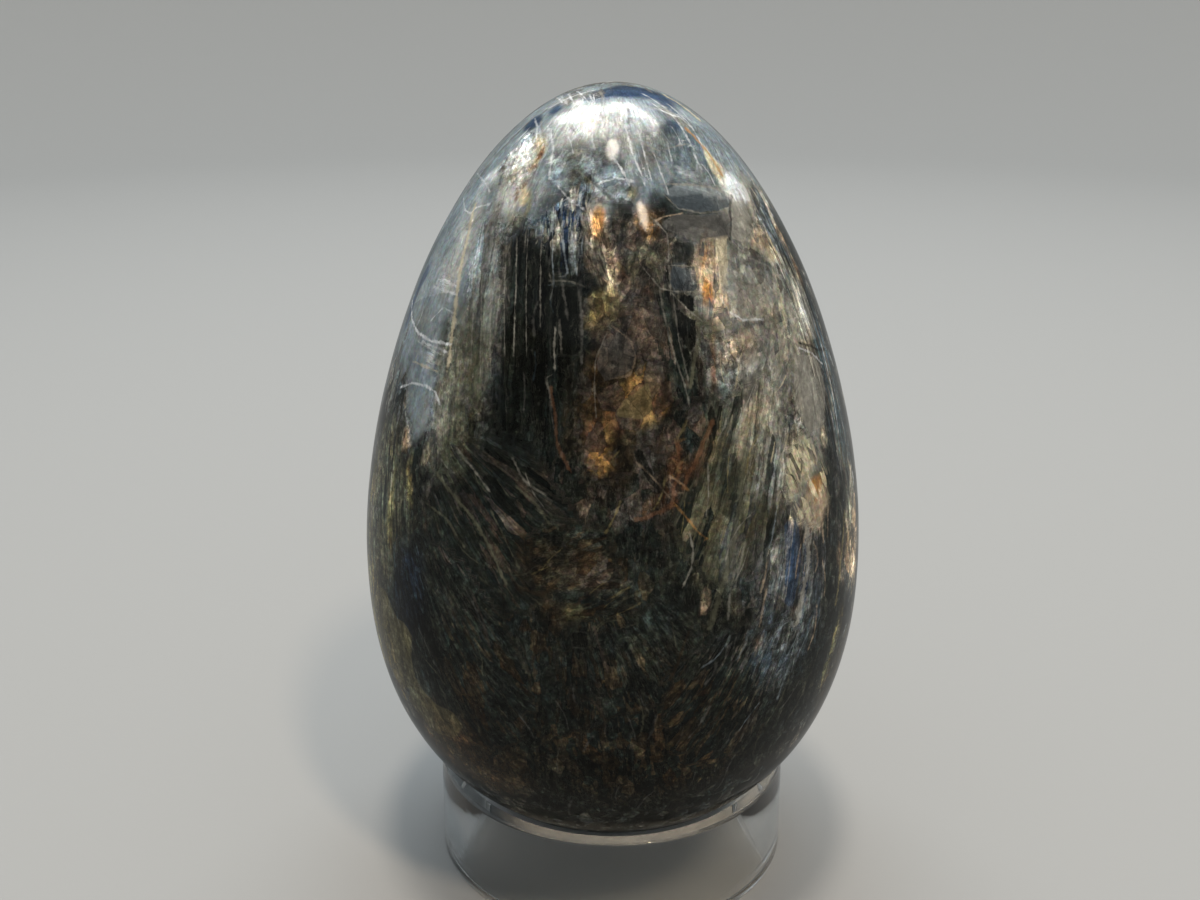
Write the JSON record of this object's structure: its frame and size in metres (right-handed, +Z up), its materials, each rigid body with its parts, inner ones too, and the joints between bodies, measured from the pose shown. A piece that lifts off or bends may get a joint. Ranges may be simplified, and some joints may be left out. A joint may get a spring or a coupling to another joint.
{
  "type": "stone egg on stand",
  "caption": "Polished mineral egg standing blunt end down in a low clear plastic ring with a bevelled seat.",
  "frame": {"origin": "centre of the ring's underside, on the surface that it stands on, straight below the egg", "axes": "+Z up along the shared axis of ring and egg, towards the egg's pointed end; +X to the right and +Y away from the viewer of the picture"},
  "size_m": [0.0424, 0.0424, 0.0682],
  "materials": {
    "polished_stone": "high polish over dark blue and brown bladed crystals, with pale streaks and rust-coloured stains",
    "clear_acrylic": "clear and glossy, with faint scuffs"
  },
  "bodies": {
    "stand": {"display_ring": "clear_acrylic"},
    "egg": {"stone_egg": "polished_stone"}
  },
  "joints": [
    {"name": "egg_lift", "type": "slide", "parent": "stand", "child": "egg", "axis": [0, 0, 1], "range_m": [0, 0.03]}
  ]
}
